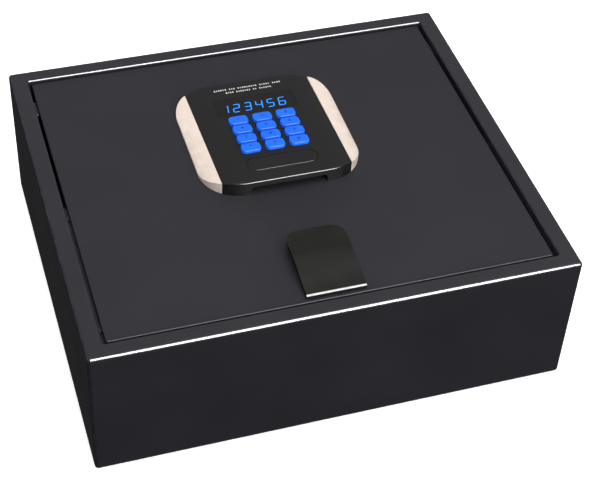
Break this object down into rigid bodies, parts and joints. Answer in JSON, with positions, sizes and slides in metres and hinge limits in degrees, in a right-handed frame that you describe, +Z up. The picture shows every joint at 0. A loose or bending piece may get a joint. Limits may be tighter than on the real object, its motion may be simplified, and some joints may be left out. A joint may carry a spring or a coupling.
{
  "type": "gun safe",
  "caption": "Flat top-opening steel safe with a hinged lid, electronic keypad, motor bolts, key override and lift handle.",
  "frame": {"origin": "centre of the base's underside", "axes": "+X to the right along the front, -Y out of the front, +Y towards the hinge, +Z up"},
  "size_m": [0.4, 0.35, 0.1404],
  "materials": {
    "powder_coat": "satin powder coat, near black with a faint violet cast",
    "zinc_steel": "zinc plated steel",
    "bolt_steel": "bright nickel plated steel",
    "black_plastic": "fine matte moulded plastic",
    "cream_plastic": "semi gloss cream moulded plastic",
    "blue_key": "translucent blue key, lit from behind",
    "display_lens": "smoked acrylic",
    "display_led": "blue seven segment module",
    "circuit_board": "green solder mask",
    "board_part": "moulded component cases",
    "dome_sheet": "clear silicone dome sheet",
    "brass": "turned brass",
    "rubber": "black rubber",
    "felt": "charcoal needle felt",
    "nylon": "natural nylon",
    "battery_wrap": "black wrapped cells",
    "ribbon": "grey ribbon cable"
  },
  "bodies": {
    "case": {"body_shell": "powder_coat", "floor_mat": "felt", "lid_ledges": "powder_coat", "lid_bumpers": "rubber", "bolt_keeper": "powder_coat", "hinge_brackets": "powder_coat", "hinge_pins": "zinc_steel", "pin_clips": "zinc_steel"},
    "lid": {"lid_plate": "powder_coat", "lid_ears": "powder_coat", "ear_bushes": "nylon", "lid_screws": "zinc_steel", "keypad_housing": "black_plastic", "keypad_trim_right": "cream_plastic", "keypad_trim_left": "cream_plastic", "display_window": "display_lens", "display_module": "display_led", "keypad_board": "circuit_board", "key_mat": "dome_sheet", "override_cylinder": "bolt_steel", "cylinder_nut": "zinc_steel", "gearbox": "brass", "motor": "zinc_steel", "motor_bracket": "zinc_steel", "plate_studs": "zinc_steel", "bolt_guides": "nylon", "lock_chassis": "zinc_steel", "lock_cover": "black_plastic", "cover_screws": "zinc_steel", "main_board": "circuit_board", "board_parts": "board_part", "ribbon_cable": "ribbon", "battery_holder": "black_plastic", "batteries": "battery_wrap", "handle_base": "black_plastic", "handle_pin": "zinc_steel"},
    "bolt_work": {"lock_bolts": "bolt_steel", "bolt_bar": "zinc_steel", "bolt_plate": "zinc_steel", "bolt_rack": "nylon"},
    "pinion": {"drive_pinion": "brass", "output_shaft": "bolt_steel"},
    "key_plug": {"override_plug": "brass", "override_cam": "zinc_steel"},
    "cover_bar": {"override_cover": "black_plastic"},
    "handle": {"handle_lever": "black_plastic"},
    "battery_lid": {"battery_door": "black_plastic"},
    "key_cap_1": {"key_1": "blue_key"},
    "key_cap_2": {"key_2": "blue_key"},
    "key_cap_3": {"key_3": "blue_key"},
    "key_cap_4": {"key_4": "blue_key"},
    "key_cap_5": {"key_5": "blue_key"},
    "key_cap_6": {"key_6": "blue_key"},
    "key_cap_7": {"key_7": "blue_key"},
    "key_cap_8": {"key_8": "blue_key"},
    "key_cap_9": {"key_9": "blue_key"},
    "key_cap_star": {"key_star": "blue_key"},
    "key_cap_0": {"key_0": "blue_key"},
    "key_cap_hash": {"key_hash": "blue_key"}
  },
  "joints": [
    {"name": "lid_hinge", "type": "hinge", "parent": "case", "child": "lid", "pos_m": [0, 0.13, 0.119], "axis": [-1, 0, 0], "range_deg": [0, 95]},
    {"name": "bolt_slide", "type": "slide", "parent": "lid", "child": "bolt_work", "axis": [0, -1, 0], "range_m": [0, 0.014]},
    {"name": "pinion_turn", "type": "hinge", "parent": "lid", "child": "pinion", "pos_m": [0, -0.06, 0.111], "axis": [-1, 0, 0], "range_deg": [0, 134]},
    {"name": "plug_turn", "type": "hinge", "parent": "lid", "child": "key_plug", "pos_m": [0, -0.005, 0.12], "axis": [0, 0, -1], "range_deg": [0, 90.2]},
    {"name": "cover_lift", "type": "slide", "parent": "lid", "child": "cover_bar", "axis": [0, 0.0589, 0.9983], "range_m": [0, 0.015]},
    {"name": "handle_lift", "type": "hinge", "parent": "lid", "child": "handle", "pos_m": [0, -0.098, 0.131], "axis": [-1, 0, 0], "range_deg": [0, 40]},
    {"name": "battery_door_slide", "type": "slide", "parent": "lid", "child": "battery_lid", "axis": [0, 1, 0], "range_m": [0, 0.025]},
    {"name": "press_1", "type": "slide", "parent": "lid", "child": "key_cap_1", "axis": [0, -0.0589, -0.9983], "range_m": [0, 0.0009], "stiffness_N_per_m": 600},
    {"name": "press_2", "type": "slide", "parent": "lid", "child": "key_cap_2", "axis": [0, -0.0589, -0.9983], "range_m": [0, 0.0009], "stiffness_N_per_m": 600},
    {"name": "press_3", "type": "slide", "parent": "lid", "child": "key_cap_3", "axis": [0, -0.0589, -0.9983], "range_m": [0, 0.0009], "stiffness_N_per_m": 600},
    {"name": "press_4", "type": "slide", "parent": "lid", "child": "key_cap_4", "axis": [0, -0.0589, -0.9983], "range_m": [0, 0.0009], "stiffness_N_per_m": 600},
    {"name": "press_5", "type": "slide", "parent": "lid", "child": "key_cap_5", "axis": [0, -0.0589, -0.9983], "range_m": [0, 0.0009], "stiffness_N_per_m": 600},
    {"name": "press_6", "type": "slide", "parent": "lid", "child": "key_cap_6", "axis": [0, -0.0589, -0.9983], "range_m": [0, 0.0009], "stiffness_N_per_m": 600},
    {"name": "press_7", "type": "slide", "parent": "lid", "child": "key_cap_7", "axis": [0, -0.0589, -0.9983], "range_m": [0, 0.0009], "stiffness_N_per_m": 600},
    {"name": "press_8", "type": "slide", "parent": "lid", "child": "key_cap_8", "axis": [0, -0.0589, -0.9983], "range_m": [0, 0.0009], "stiffness_N_per_m": 600},
    {"name": "press_9", "type": "slide", "parent": "lid", "child": "key_cap_9", "axis": [0, -0.0589, -0.9983], "range_m": [0, 0.0009], "stiffness_N_per_m": 600},
    {"name": "press_star", "type": "slide", "parent": "lid", "child": "key_cap_star", "axis": [0, -0.0589, -0.9983], "range_m": [0, 0.0009], "stiffness_N_per_m": 600},
    {"name": "press_0", "type": "slide", "parent": "lid", "child": "key_cap_0", "axis": [0, -0.0589, -0.9983], "range_m": [0, 0.0009], "stiffness_N_per_m": 600},
    {"name": "press_hash", "type": "slide", "parent": "lid", "child": "key_cap_hash", "axis": [0, -0.0589, -0.9983], "range_m": [0, 0.0009], "stiffness_N_per_m": 600}
  ],
  "couplings": [
    {"joint": "pinion_turn", "follows": "bolt_slide", "rad_per_m": 166.67},
    {"joint": "plug_turn", "follows": "bolt_slide", "rad_per_m": 112.2}
  ]
}
